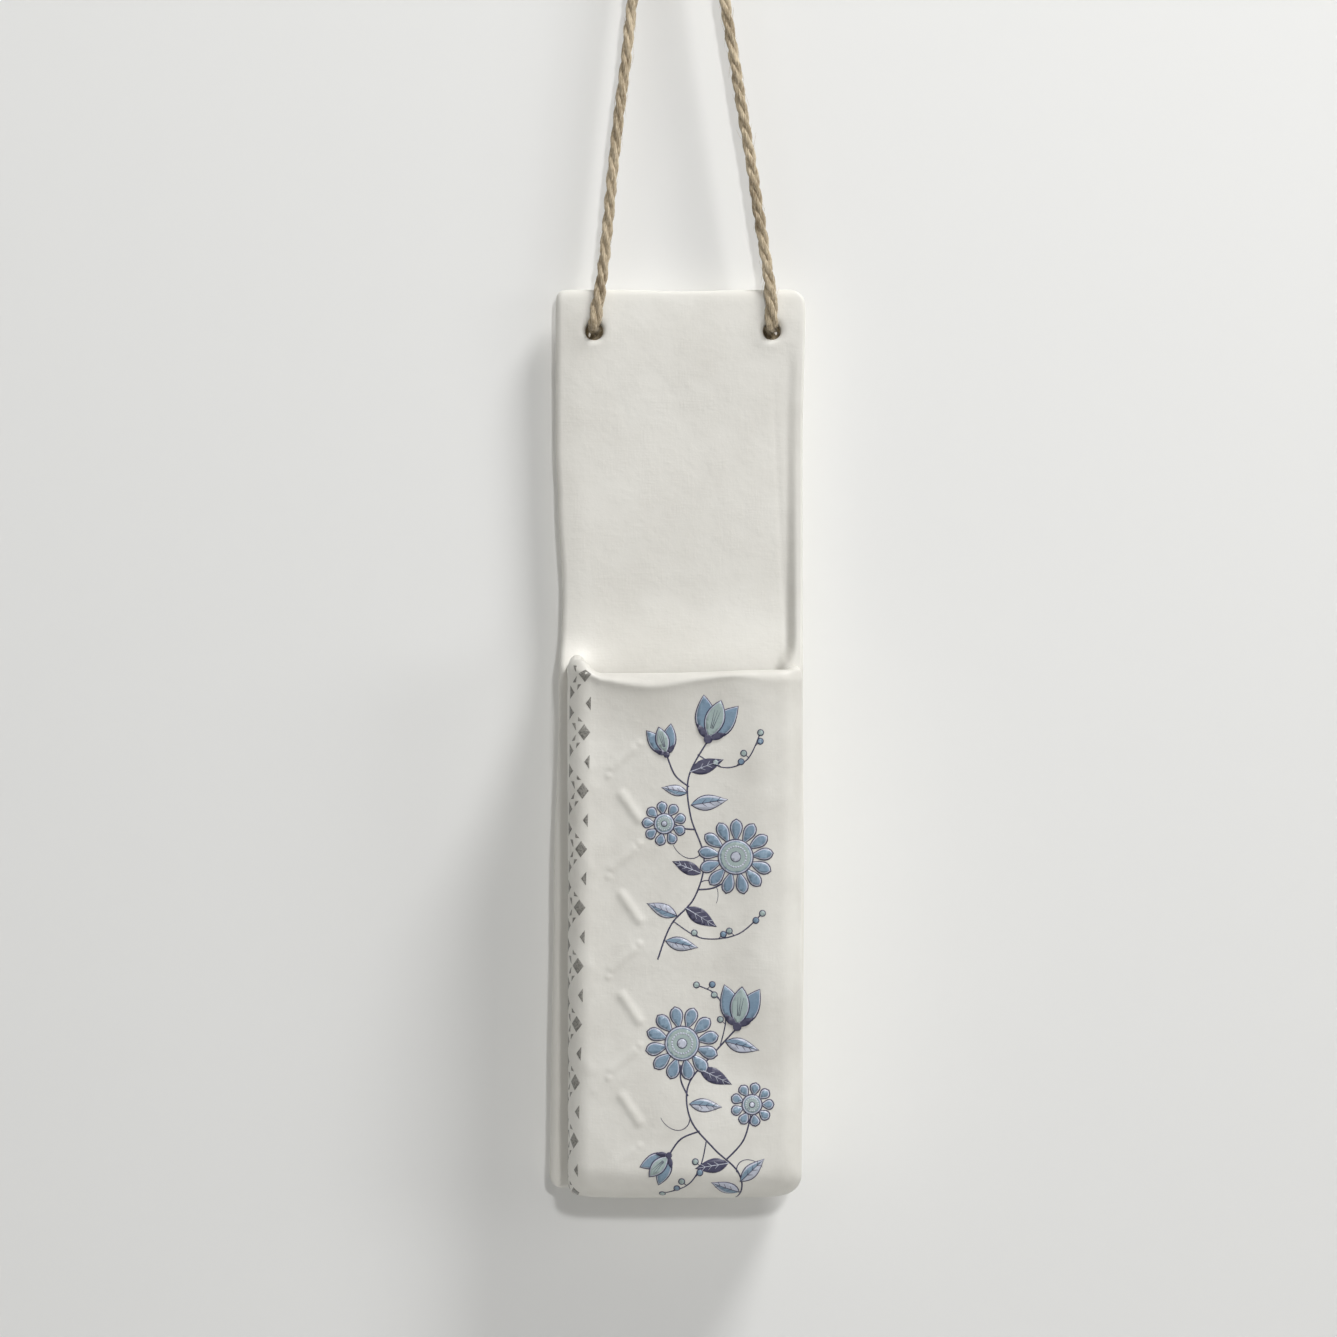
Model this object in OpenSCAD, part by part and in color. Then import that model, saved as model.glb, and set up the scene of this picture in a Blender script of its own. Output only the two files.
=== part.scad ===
// Hanging wall vase: a tall slab-built ceramic wall pocket hung on jute twine from a wall hook.
// The origin is on the hook's axis where it enters the wall. +Z is up, and the viewer is at -Y.

/* [Back slab] */
// Height of the slab
slab_h = 237.3; // [180:0.1:300]
// Width of the slab along its top edge
slab_w = 66.4; // [60:0.1:76]
// Distance from the hook's axis to the slab's left edge
slab_left = 32.2; // [28:0.1:34]
// Thickness of the slab
slab_t = 4.5; // [3:0.1:7]
// Radius of the slab's left corners
left_corner_r = 2; // [0.5:0.1:6]
// Radius of the slab's right corners
right_corner_r = 4; // [0.5:0.1:6]
// Gap between the wall and the back of the slab, where the knots sit
wall_gap = 6; // [5:0.1:9]

/* [Turned-up right edge] */
// Width of the turned-up edge
curl_w = 3.2; // [2:0.1:5]
// How far the edge stands forward just above the pocket
curl_foot_h = 7; // [2:0.1:12]
// How far the edge stands forward at the top of the slab
curl_top_h = 1.2; // [0.5:0.1:3]

/* [Twine holes] */
// Diameter of both holes
hole_d = 5.2; // [4.4:0.1:7]
// Distance from the hook's axis to the left hole
left_hole_x = 21.9; // [18:0.1:24]
// Distance from the hook's axis to the right hole
right_hole_x = 25.1; // [20:0.1:27]
// Depth of the holes below the slab's top edge
hole_drop = 10.6; // [8:0.1:16]
// Width of the softened edge round each hole
hole_edge = 0.8; // [0.2:0.1:1.5]

/* [Pocket] */
// Outer width of the pocket
pocket_w = 60.7; // [50:0.1:63]
// Distance from the hook's axis to the pocket's left side
pocket_left = 28.3; // [26:0.1:30]
// Height of the pocket from its foot to its rim
pocket_h = 137; // [90:0.1:170]
// How far the pocket stands forward of the slab at its corners
pocket_d = 25.5; // [18:0.1:40]
// How much further forward the middle of the pocket's front bulges
crown = 1; // [0.2:0.1:3]
// Thickness of the pocket's walls
pocket_t = 4.2; // [3:0.1:5]
// Radius of the pocket's upright corners
side_r = 6.5; // [5.5:0.1:12]
// Radius where the front turns under at the foot
foot_r = 9; // [6:0.1:12]
// Radius of the foot's two lower corners, seen from the front
foot_corner_r = 6.4; // [5.5:0.1:9]
// How far the rim rises where its two ends meet the slab
ear_h = 5.5; // [0:0.1:9]
// Length of the rim over which it rises
ear_run = 10; // [4:0.5:14]
// How far the rounded lip slopes down towards the front
lip_drop = 4; // [1:0.1:6]

/* [Transfers] */
// Thickness of the fired-on printed skins
film_t = 0.25; // [0.1:0.05:0.5]
// Width of the grey border strip on the front
border_w = 6; // [4:0.1:10]
// How far the border strip reaches round the left side
border_wrap = 4.5; // [2:0.1:10]
// Distance from the hook's axis to the floral print's left edge
floral_left = 9.5; // [4:0.1:12]
// Width of the floral prints
floral_w = 35.5; // [20:0.1:38]
// Height of the upper floral print
upper_floral_h = 70; // [40:0.5:76]
// Gap between the two floral prints
floral_gap = 3; // [1:0.1:8]
// Distance from the rim down to the prints
print_drop = 4.6; // [2:0.1:8]

/* [Twine] */
// Diameter of the twine
twine_d = 3; // [2:0.1:3.2]
// Play between the twine and what it passes
play = 0.3; // [0.2:0.05:0.5]

/* [Knots] */
// Width of each knot
knot_w = 8.6; // [7:0.1:10]
// Thickness of each knot
knot_t = 5.2; // [4:0.1:5.6]
// Length of the cut end below each knot
tail_l = 8; // [3:0.5:15]

/* [Wall hook] */
// Diameter of the shank in the wall
shank_d = 2.8; // [2:0.1:4]
// Length of the shank before its point
shank_l = 18; // [12:0.5:30]
// Length of the point
point_l = 3; // [2:0.5:6]
// Diameter of the point's blunt tip
point_d = 0.4; // [0.2:0.1:1]
// Diameter of the round shoulder against the wall
shoulder_d = 10; // [7:0.1:14]
// Thickness of the shoulder
shoulder_t = 1.6; // [1:0.1:3]
// Diameter of the sloping collar in front of the shoulder
collar_d = 7; // [4:0.1:7]
// Thickness of the collar
collar_t = 1; // [0.5:0.1:2]
// Diameter of the arm that carries the twine
arm_d = 3.2; // [2.6:0.1:3.4]
// Radius of the arm's bend
bend_r = 3; // [2:0.1:3.2]
// Distance from the wall to the turned-up end
arm_reach = 17; // [16.5:0.1:20]
// Height of the turned-up end above the arm's axis
upturn_h = 8.8; // [7:0.1:14]
// Diameter of the ball on the end
ball_d = 4.6; // [3.6:0.1:6]

/* [Hidden] */
$fn = 64;
eps = 0.01;
touch = 0.1;
// How far a cutting or trimming shape runs past the solid.
past = 10;

clay = [0.93, 0.92, 0.88];
grey_print = [0.55, 0.54, 0.51];
blue_print = [0.43, 0.55, 0.65];
jute = [0.68, 0.59, 0.45];
brass = [0.76, 0.62, 0.33];

// Heights, measured down from the hook's axis.
slab_top = -126.7;
slab_foot = slab_top - slab_h;
hole_z = slab_top - hole_drop;
rim_z = slab_foot + pocket_h;

// Depths, measured forward from the wall.
slab_back_y = -wall_gap;
slab_face_y = slab_back_y - slab_t;
front_y = slab_face_y - pocket_d;

// Sides.
pocket_x0 = -pocket_left;
pocket_x1 = pocket_x0 + pocket_w;
slab_x1 = slab_w - slab_left;

// The slab's edges wander a little down its height: [share of the height, shift of the edge].
left_edge = [[0.18, 0], [0.24, 0.6], [0.34, 1.8], [0.46, 0.9], [0.68, -0.5], [0.9, -1.2]];
right_edge = [[0.18, -0.8], [0.34, -0.8], [0.46, -0.8], [0.68, -0.5], [0.9, -0.8]];
foot_shift_left = -1.6;
foot_shift_right = -2.4;
turned_x1 = slab_x1 + right_edge[0][1];

// The twine's middle line, from the left hole up over the hook and down to the right hole.
// It hangs in a plane just clear of the slab's face: each point is [across, up].
twine_y = slab_face_y - twine_d / 2 - play;
hang_z = -136;
twine_route = [
    [-21.9, -136], [-20.5, -128], [-19.4, -120], [-18.5, -112], [-17.7, -103.5], [-16.9, -95],
    [-16.0, -86.5], [-15.0, -78], [-13.9, -69.5], [-12.9, -61], [-12.0, -52.5], [-11.0, -44],
    [-10.0, -35.5], [-9.0, -27], [-8.0, -18.5], [-7.0, -10], [-6.1, -2],
    [-5.0, 0.6], [-3.0, 2.7], [0, 3.5], [3.0, 2.7], [5.0, 0.6],
    [6.0, -2], [7.1, -10], [8.3, -18.5], [9.5, -27], [10.6, -35.5], [11.8, -44], [13.0, -52.5],
    [14.4, -61], [15.8, -69.5], [17.1, -78], [18.5, -86.5], [19.9, -95], [21.2, -103.5],
    [22.5, -112], [23.8, -120], [24.8, -128], [25.1, -136]
];
tube_sides = 8;

// The knots sit close behind the slab, and their twine lies along the top of the holes.
knot_y = slab_back_y + knot_t / 2 + touch;
bun_r = knot_t / 2;
stretch_z = hole_z + (hole_d - twine_d) / 2 - touch;
stretch_l = knot_y - slab_face_y;
tail_d = twine_d - 2 * touch;
tail_shift = 1;

// Points along a round corner from angle a to angle b.
function arc(cx, cy, r, a, b, steps = 8) =
    [for (i = [0:steps]) let (t = a + (b - a) * i / steps) [cx + r * cos(t), cy + r * sin(t)]];

// The slab seen from the front, as [across, up].
function slab_outline() = concat(
    arc(-slab_left + left_corner_r, slab_top - left_corner_r, left_corner_r, 90, 180),
    [for (p = left_edge) [p[1] - slab_left, slab_top - p[0] * slab_h]],
    arc(-slab_left + foot_shift_left + left_corner_r, slab_foot + left_corner_r, left_corner_r, 180, 270),
    arc(slab_x1 + foot_shift_right - right_corner_r, slab_foot + right_corner_r, right_corner_r, 270, 360),
    [for (i = [len(right_edge) - 1:-1:0]) let (p = right_edge[i])
        [slab_x1 + p[1], slab_top - p[0] * slab_h]],
    arc(slab_x1 - right_corner_r, slab_top - right_corner_r, right_corner_r, 0, 90)
);

// The pocket seen from above, as [across, back], grown outwards by o and open at the back.
function pocket_plan(o, back) = let (
    x0 = pocket_x0 + side_r,
    x1 = pocket_x1 - side_r,
    y = front_y + side_r,
    steps = 12
) concat(
    [[pocket_x0 - o, back]],
    arc(x0, y, side_r + o, 180, 270),
    [for (i = [1:steps - 1]) let (u = 2 * i / steps - 1) [
        x0 + (x1 - x0) * i / steps,
        front_y - o - crown * (1 - u * u)
    ]],
    arc(x1, y, side_r + o, 270, 360),
    [[pocket_x1 + o, back]]
);

// The pocket seen from the side, as [back, up]. The rim rises towards the slab and slopes down
// at the lip, and the front turns under at the foot.
function pocket_side(o, back, top) = concat(
    [[back, slab_foot - o], [back, top + ear_h]],
    [for (i = [0:8]) let (u = i / 8) [
        slab_face_y - ear_run * u,
        top + ear_h * (1 + cos(180 * u)) / 2
    ]],
    [[front_y + pocket_t, top], [front_y - crown - o, top - lip_drop]],
    arc(front_y - crown + foot_r, slab_foot + foot_r, foot_r + o, 180, 270)
);

// The pocket seen from the front, as [across, up].
function pocket_face(o) = concat(
    arc(pocket_x0 + foot_corner_r, slab_foot + foot_corner_r, foot_corner_r + o, 180, 270),
    arc(pocket_x1 - foot_corner_r, slab_foot + foot_corner_r, foot_corner_r + o, 270, 360),
    [[pocket_x1 + o, rim_z + 2 * past], [pocket_x0 - o, rim_z + 2 * past]]
);

// The pocket's whole block, grown outwards by o, with the rim at the height top.
module pocket_block(o, back, top) {
    intersection() {
        translate([0, 0, slab_foot - past])
            linear_extrude(pocket_h + 4 * past)
                polygon(pocket_plan(o, back));
        translate([pocket_x0 - past, 0, 0])
            rotate([90, 0, 90])
                linear_extrude(pocket_w + 2 * past)
                    polygon(pocket_side(o, back, top));
        translate([0, back + past, 0])
            rotate([90, 0, 0])
                linear_extrude(pocket_d + 4 * past)
                    polygon(pocket_face(o));
    }
}

// The pocket's base is a plain plate set inside the wrapped wall.
module base_plate() {
    translate([pocket_x0 + pocket_t, front_y + foot_r, slab_foot])
        cube([pocket_w - 2 * pocket_t, slab_face_y - front_y - foot_r, pocket_t]);
}

// A skin of the film's thickness on the outside of the pocket.
module film() {
    difference() {
        pocket_block(film_t, slab_face_y, rim_z);
        pocket_block(0, slab_face_y + past, rim_z + past);
    }
}

// One floral print: a tall patch of the film between two heights.
module floral_film(low, high) {
    intersection() {
        film();
        translate([-floral_left, front_y - past, low])
            cube([floral_w, past + foot_r, high - low]);
    }
}

// A hole through the slab with a softened edge at both faces.
module twine_hole(x) {
    translate([x, slab_back_y, hole_z])
        rotate([90, 0, 0]) {
            translate([0, 0, -past])
                cylinder(h = slab_t + 2 * past, d = hole_d);
            translate([0, 0, -eps])
                cylinder(h = hole_edge, d1 = hole_d + 2 * hole_edge, d2 = hole_d);
            translate([0, 0, slab_t - hole_edge + eps])
                cylinder(h = hole_edge, d1 = hole_d, d2 = hole_d + 2 * hole_edge);
        }
}

// The low wall where the slab's right edge is turned up, taller towards the pocket.
// It ends on top of the pocket's rim.
module turned_edge() {
    z0 = slab_top - right_corner_r;
    difference() {
        translate([turned_x1 - curl_w, 0, 0])
            rotate([90, 0, 90])
                linear_extrude(curl_w)
                    polygon(concat(
                        [[slab_face_y + slab_t / 2, rim_z], [slab_face_y + slab_t / 2, z0]],
                        [for (i = [0:8]) let (u = i / 8) [
                            slab_face_y - curl_top_h - (curl_foot_h - curl_top_h) * pow(u, 1.5),
                            z0 + (rim_z - z0) * u
                        ]]
                    ));
        pocket_block(0, slab_face_y, rim_z);
    }
}

// The rings of the twine: its route, and two smaller rings that round off each end.
function ring_list() = let (
    r = twine_d / 2,
    n = len(twine_route),
    a = twine_route[0],
    b = twine_route[n - 1]
) concat(
    [[a[0], a[1] - 0.9 * r, 0.4 * r], [a[0], a[1] - 0.55 * r, 0.8 * r]],
    [for (p = twine_route) [p[0], p[1], r]],
    [[b[0], b[1] - 0.55 * r, 0.8 * r], [b[0], b[1] - 0.9 * r, 0.4 * r]]
);

// The direction of the line at ring i, across the ring's two neighbours.
function heading(rings, i) = let (
    a = rings[max(i - 1, 0)],
    b = rings[min(i + 1, len(rings) - 1)]
) atan2(b[1] - a[1], b[0] - a[0]);

// A closed tube along the rings, in the twine's upright plane.
module twine_tube(rings) {
    n = len(rings);
    points = [
        for (i = [0:n - 1], k = [0:tube_sides - 1])
            let (turn = 360 * k / tube_sides, side = heading(rings, i) + 90, r = rings[i][2])
                [
                    rings[i][0] + r * cos(turn) * cos(side),
                    twine_y + r * sin(turn),
                    rings[i][1] + r * cos(turn) * sin(side)
                ]
    ];
    walls = [
        for (i = [0:n - 2], k = [0:tube_sides - 1])
            let (a = i * tube_sides + k, b = i * tube_sides + (k + 1) % tube_sides)
                each [[a, b, b + tube_sides], [a, b + tube_sides, a + tube_sides]]
    ];
    start_cap = [for (k = [tube_sides - 1:-1:0]) k];
    end_cap = [for (k = [0:tube_sides - 1]) (n - 1) * tube_sides + k];
    polyhedron(points, concat(walls, [start_cap, end_cap]));
}

// A stopper knot behind the slab, with the stretch of twine through the hole and a short cut end.
module stopper_knot(x) {
    color(jute)
        union() {
            translate([x, knot_y, stretch_z])
                rotate([90, 0, 0]) {
                    cylinder(h = stretch_l, d = twine_d);
                    rotate_extrude()
                        intersection() {
                            translate([knot_w / 2 - bun_r, 0])
                                circle(bun_r);
                            translate([0, -bun_r])
                                square([knot_w, knot_t]);
                        }
                }
            translate([x + tail_shift, knot_y, stretch_z - knot_w / 2 - tail_l])
                cylinder(h = tail_l + knot_w / 2, d = tail_d);
        }
}

module wall_hook() {
    color(brass)
        union() {
            rotate([-90, 0, 0])
                cylinder(h = shank_l, d = shank_d);
            translate([0, shank_l, 0])
                rotate([-90, 0, 0])
                    cylinder(h = point_l, d1 = shank_d, d2 = point_d);
            rotate([90, 0, 0])
                cylinder(h = shoulder_t, d = shoulder_d);
            translate([0, eps - shoulder_t, 0])
                rotate([90, 0, 0])
                    cylinder(h = collar_t, d1 = collar_d, d2 = arm_d + 2 * touch);
            rotate([90, 0, 0])
                cylinder(h = arm_reach - bend_r, d = arm_d);
            translate([0, bend_r - arm_reach, bend_r])
                rotate([0, 90, 0])
                    rotate([0, 0, 270])
                        rotate_extrude(angle = 90)
                            translate([bend_r, 0])
                                circle(d = arm_d);
            translate([0, -arm_reach, bend_r])
                cylinder(h = upturn_h - bend_r, d = arm_d);
            translate([0, -arm_reach, upturn_h])
                sphere(d = ball_d);
        }
}

module hanging_twine() {
    color(jute)
        twine_tube(ring_list());
}

module left_knot() {
    stopper_knot(-left_hole_x);
}

module right_knot() {
    stopper_knot(right_hole_x);
}

module back_slab() {
    color(clay)
        difference() {
            union() {
                translate([0, slab_back_y, 0])
                    rotate([90, 0, 0])
                        linear_extrude(slab_t)
                            polygon(slab_outline());
                turned_edge();
            }
            twine_hole(-left_hole_x);
            twine_hole(right_hole_x);
        }
}

module pocket_front() {
    color(clay)
        difference() {
            pocket_block(0, slab_face_y, rim_z);
            pocket_block(-pocket_t, slab_face_y + 2, rim_z + 9);
            base_plate();
        }
}

module pocket_base() {
    color(clay)
        intersection() {
            base_plate();
            pocket_block(0, slab_face_y, rim_z);
        }
}

module border_transfer() {
    color(grey_print)
        intersection() {
            film();
            translate([pocket_x0 - past, front_y - past, slab_foot - past])
                cube([past + border_w, past + border_wrap, pocket_h + past - print_drop]);
        }
}

module upper_floral_transfer() {
    color(blue_print)
        floral_film(rim_z - print_drop - upper_floral_h, rim_z - print_drop);
}

module lower_floral_transfer() {
    color(blue_print)
        floral_film(slab_foot - past, rim_z - print_drop - upper_floral_h - floral_gap);
}

wall_hook();
hanging_twine();
left_knot();
right_knot();
back_slab();
pocket_front();
pocket_base();
border_transfer();
upper_floral_transfer();
lower_floral_transfer();
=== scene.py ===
import math
import random

import bmesh
import bpy
from mathutils import Matrix, Vector, noise


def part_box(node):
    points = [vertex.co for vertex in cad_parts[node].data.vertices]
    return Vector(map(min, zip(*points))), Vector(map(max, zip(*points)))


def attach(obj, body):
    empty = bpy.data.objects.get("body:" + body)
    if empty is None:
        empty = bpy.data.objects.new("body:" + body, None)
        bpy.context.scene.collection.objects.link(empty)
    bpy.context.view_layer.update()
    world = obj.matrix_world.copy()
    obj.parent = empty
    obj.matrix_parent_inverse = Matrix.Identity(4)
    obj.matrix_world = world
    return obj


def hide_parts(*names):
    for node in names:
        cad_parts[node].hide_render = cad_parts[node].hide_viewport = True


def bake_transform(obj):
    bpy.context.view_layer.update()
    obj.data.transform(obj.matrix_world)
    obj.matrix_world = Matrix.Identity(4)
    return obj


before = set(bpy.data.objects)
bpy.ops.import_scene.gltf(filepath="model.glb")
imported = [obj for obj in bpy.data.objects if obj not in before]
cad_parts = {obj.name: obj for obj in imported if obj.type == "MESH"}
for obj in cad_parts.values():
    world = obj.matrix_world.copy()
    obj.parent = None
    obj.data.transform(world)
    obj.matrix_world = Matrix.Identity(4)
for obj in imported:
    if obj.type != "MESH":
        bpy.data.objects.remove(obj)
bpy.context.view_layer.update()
scene = bpy.context.scene
scene.view_settings.view_transform = "Standard"
mm = 0.001
print("frame loaded,", len(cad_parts), "nodes")


# Camera: straight on, level with the pocket's rim
camera = {
    "across": -2.2 * mm,
    "distance": 950 * mm,
    "height": -226.6 * mm,
    "lens": 95.6,
}


def putObject(name, data):
    obj = bpy.data.objects.new(name, data)
    scene.collection.objects.link(obj)
    return obj


def makeCamera():
    data = bpy.data.cameras.new("photoCamera")
    data.lens = camera["lens"]
    data.dof.use_dof = False
    data.clip_start = 0.01
    view = putObject("photoCamera", data)
    view.location = (camera["across"], -camera["distance"], camera["height"])
    view.rotation_euler = (math.radians(90), 0, 0)
    scene.camera = view


makeCamera()
print("camera placed")


# Colours are given as a display shows them, 0 to 255
def paint(red, green, blue):
    def linear(c):
        c = c / 255
        return c / 12.92 if c <= 0.04045 else ((c + 0.055) / 1.055) ** 2.4
    return (linear(red), linear(green), linear(blue), 1)


# Every group gives a colour, a roughness and a height, worked out from the object's own coordinates
def newGroup(name, inputs):
    group = bpy.data.node_groups.new(name, "ShaderNodeTree")
    for label, kind, value in inputs:
        socket = group.interface.new_socket(label, in_out="INPUT", socket_type="NodeSocket" + kind)
        socket.default_value = value
    for label, kind in (("Colour", "Color"), ("Roughness", "Float"), ("Height", "Float")):
        group.interface.new_socket(label, in_out="OUTPUT", socket_type="NodeSocket" + kind)
    given = group.nodes.new("NodeGroupInput").outputs
    made = group.nodes.new("NodeGroupOutput").inputs
    place = group.nodes.new("ShaderNodeTexCoord").outputs["Object"]
    return group, given, made, place


def addNoise(tree, vector, scale, detail, roughness):
    node = tree.nodes.new("ShaderNodeTexNoise")
    node.inputs["Scale"].default_value = scale
    node.inputs["Detail"].default_value = detail
    node.inputs["Roughness"].default_value = roughness
    tree.links.new(vector, node.inputs["Vector"])
    return node.outputs["Fac"]


def addMath(tree, operation, a, b):
    node = tree.nodes.new("ShaderNodeMath")
    node.operation = operation
    for socket, value in zip(node.inputs, (a, b)):
        if isinstance(value, (int, float)):
            socket.default_value = value
        else:
            tree.links.new(value, socket)
    return node.outputs[0]


def times(tree, a, b):
    return addMath(tree, "MULTIPLY", a, b)


def plus(tree, a, b):
    return addMath(tree, "ADD", a, b)


def addRange(tree, value, low, high, toLow, toHigh):
    node = tree.nodes.new("ShaderNodeMapRange")
    node.inputs["From Min"].default_value = low
    node.inputs["From Max"].default_value = high
    for socket, edge in (("To Min", toLow), ("To Max", toHigh)):
        if isinstance(edge, (int, float)):
            node.inputs[socket].default_value = edge
        else:
            tree.links.new(edge, node.inputs[socket])
    tree.links.new(value, node.inputs["Value"])
    return node.outputs["Result"]


def addMix(tree, factor, a, b):
    node = tree.nodes.new("ShaderNodeMix")
    node.data_type = "RGBA"
    for name, value in (("Factor_Float", factor), ("A_Color", a), ("B_Color", b)):
        socket = next(s for s in node.inputs if s.identifier == name)
        if isinstance(value, (int, float, tuple)):
            socket.default_value = value
        else:
            tree.links.new(value, socket)
    return next(s for s in node.outputs if s.identifier == "Result_Color")


def addMapping(tree, vector, scale):
    node = tree.nodes.new("ShaderNodeMapping")
    node.inputs["Scale"].default_value = scale
    tree.links.new(vector, node.inputs["Vector"])
    return node.outputs["Vector"]


# Satin glaze over hand-rolled clay: slow clouds of tone, cloth marks and fine pin texture
def makeGlazeGroup():
    group, given, made, place = newGroup("clayGlaze", [
        ("Colour", "Color", paint(230, 227, 219)),
        ("Shade", "Color", paint(214, 210, 200)),
        ("Clouds", "Float", 0.5),
        ("Roughness", "Float", 0.42),
        ("Speckle", "Float", 0.0),
    ])
    clouds = addNoise(group, place, 38, 5, 0.6)
    blotch = addNoise(group, place, 170, 3, 0.5)
    warp = addNoise(group, addMapping(group, place, (1, 1, 7)), 260, 2, 0.5)
    weft = addNoise(group, addMapping(group, place, (7, 7, 1)), 260, 2, 0.5)
    pins = addNoise(group, place, 1900, 2, 0.6)
    dots = addNoise(group, place, 2400, 2, 0.6)
    tone = times(group, addRange(group, clouds, 0.35, 0.68, 0, 1), given["Clouds"])
    body = addMix(group, tone, given["Colour"], given["Shade"])
    spots = times(group, addRange(group, dots, 0.45, 0.62, 0, 1), given["Speckle"])
    group.links.new(addMix(group, spots, body, given["Shade"]), made["Colour"])
    rough = plus(group, given["Roughness"], addRange(group, blotch, 0.3, 0.7, -0.06, 0.08))
    group.links.new(rough, made["Roughness"])
    cloth = times(group, plus(group, warp, weft), 0.5)
    worn = times(group, cloth, addRange(group, blotch, 0.4, 0.65, 0.1, 0.75))
    height = plus(group, worn, times(group, pins, 0.2))
    swells = times(group, blotch, 0.8)
    group.links.new(plus(group, height, swells), made["Height"])
    return group


def newMaterial(name, group, values, bump, fixed):
    material = bpy.data.materials.new(name)
    material.use_nodes = True
    tree = material.node_tree
    shader = tree.nodes["Principled BSDF"]
    node = tree.nodes.new("ShaderNodeGroup")
    node.node_tree = group
    for label, value in values.items():
        node.inputs[label].default_value = value
    tree.links.new(node.outputs["Colour"], shader.inputs["Base Color"])
    tree.links.new(node.outputs["Roughness"], shader.inputs["Roughness"])
    relief = tree.nodes.new("ShaderNodeBump")
    relief.inputs["Strength"].default_value = bump[0]
    relief.inputs["Distance"].default_value = bump[1]
    tree.links.new(node.outputs["Height"], relief.inputs["Height"])
    tree.links.new(relief.outputs["Normal"], shader.inputs["Normal"])
    for label, value in fixed.items():
        shader.inputs[label].default_value = value
    return material


glazeGroup = makeGlazeGroup()
satin = {"Coat Weight": 0.08, "Coat Roughness": 0.35, "IOR": 1.48}
glazeBump = (0.4, 0.26 * mm)      # strength, distance


def makeGlaze(name, colour, shade, clouds, roughness, speckle=0.0):
    values = {
        "Colour": colour, "Shade": shade, "Clouds": clouds,
        "Roughness": roughness, "Speckle": speckle,
    }
    return newMaterial(name, glazeGroup, values, glazeBump, satin)


whiteGlaze = makeGlaze("whiteGlaze", paint(226, 224, 217), paint(214, 211, 203), 0.6, 0.5)
# The pocket's glaze is a darker copy of the slab's: its darker tone is painted shade on the pocket front and
# the foot plate, and its deeper clouds vary the glaze's tone
pocketGlazePaintedShade = makeGlaze("pocketGlazePaintedShade", paint(226, 224, 217), paint(206, 203, 195), 0.8, 0.5)
greyPrint = makeGlaze("greyPrint", paint(146, 144, 137), paint(92, 90, 85), 0.25, 0.38, 0.8)
navyPrint = makeGlaze("navyPrint", paint(62, 61, 88), paint(43, 42, 66), 0.6, 0.36, 0.3)
steelPrint = makeGlaze("steelPrint", paint(132, 155, 173), paint(104, 129, 152), 0.8, 0.37, 0.5)
sagePrint = makeGlaze("sagePrint", paint(166, 182, 180), paint(148, 165, 163), 0.8, 0.37, 0.4)
palePrint = makeGlaze("palePrint", paint(196, 200, 212), paint(180, 185, 202), 0.7, 0.38, 0.3)
print("glazes mixed")


# Jute: coarse fibre streaks along the cord, olive in the grooves and straw on the ridges, partly the fibres'
# own mixed tone and partly painted shade in the grooves and painted light on the ridges
def makeJute():
    group, given, made, place = newGroup("juteFibre", [
        ("Straw", "Color", paint(214, 199, 172)),
        ("Olive", "Color", paint(132, 114, 88)),
    ])
    streaks = addNoise(group, addMapping(group, place, (1, 1, 0.16)), 2600, 4, 0.6)
    patches = addNoise(group, place, 190, 3, 0.5)
    streakShare = times(group, streaks, 0.65)
    patchShare = times(group, patches, 0.35)
    # olive where the streaks' bump is low is painted shade in its grooves, straw where it is high is painted
    # light; the patches vary the fibres' own tone
    tone = addRange(group, plus(group, streakShare, patchShare), 0.36, 0.62, 0, 1)
    group.links.new(addMix(group, tone, given["Olive"], given["Straw"]), made["Colour"])
    group.links.new(addRange(group, streaks, 0.3, 0.7, 0.78, 0.95), made["Roughness"])
    group.links.new(streaks, made["Height"])
    fuzz = {"Sheen Weight": 0.25, "Specular IOR Level": 0.3}
    return newMaterial("juteFibre", group, {}, (0.6, 0.15 * mm), fuzz)


# Brass: fine brushing round the arm, with duller patches
def makeBrass():
    group, given, made, place = newGroup("brushedBrass", [
        ("Bright", "Color", paint(214, 184, 120)),
        ("Dull", "Color", paint(172, 138, 82)),
    ])
    tarnish = addNoise(group, place, 320, 4, 0.6)
    brushing = addNoise(group, addMapping(group, place, (1, 9, 1)), 1400, 3, 0.6)
    tone = addRange(group, tarnish, 0.35, 0.65, 0, 1)
    group.links.new(addMix(group, tone, given["Bright"], given["Dull"]), made["Colour"])
    dulled = addRange(group, tarnish, 0.3, 0.7, 0.2, 0.34)
    scuffs = times(group, brushing, 0.1)
    group.links.new(plus(group, dulled, scuffs), made["Roughness"])
    group.links.new(brushing, made["Height"])
    return newMaterial("brushedBrass", group, {}, (0.25, 0.05 * mm), {"Metallic": 1.0})


jute = makeJute()
brass = makeBrass()
print("jute and brass mixed")


# Smooth step from 0 at low to 1 at high, also for a high below low
def ease(x, low, high):
    t = min(max((x - low) / (high - low), 0), 1)
    return t * t * (3 - 2 * t)


# 1 at the middle, falling off smoothly to both sides
def bell(x, middle, width):
    return math.exp(-((x - middle) / width) ** 2)


# Slow unevenness, between about -1 and 1
def ripple(x, z, across, up, seed):
    return noise.noise(Vector((x * across, z * up, seed)))


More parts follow.
